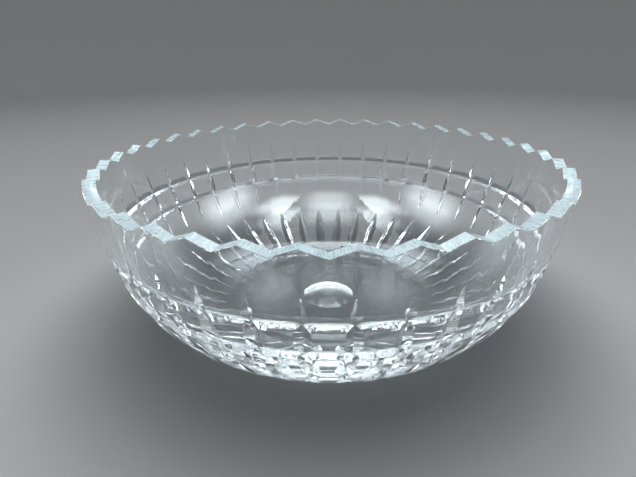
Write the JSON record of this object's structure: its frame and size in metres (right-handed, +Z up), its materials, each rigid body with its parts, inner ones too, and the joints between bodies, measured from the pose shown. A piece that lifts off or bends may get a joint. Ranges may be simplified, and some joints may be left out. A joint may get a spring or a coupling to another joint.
{
  "type": "punch bowl",
  "caption": "Round cut-crystal punch bowl with a saw-tooth rim, ring cuts crossed by upright mitre cuts, and a star of pointed rays around its flat base.",
  "frame": {"origin": "centre of the flat underside of the base, on the surface the bowl stands on", "axes": "+Z up along the bowl's axis, out of its mouth; a notch of the rim lies on -Y"},
  "size_m": [0.2792, 0.2792, 0.1051],
  "materials": {
    "clear_crystal": "clear colourless crystal, polished inside, outside and in the cuts, with finely ground rim facets"
  },
  "bodies": {
    "root": {"bowl": "clear_crystal"}
  },
  "joints": []
}
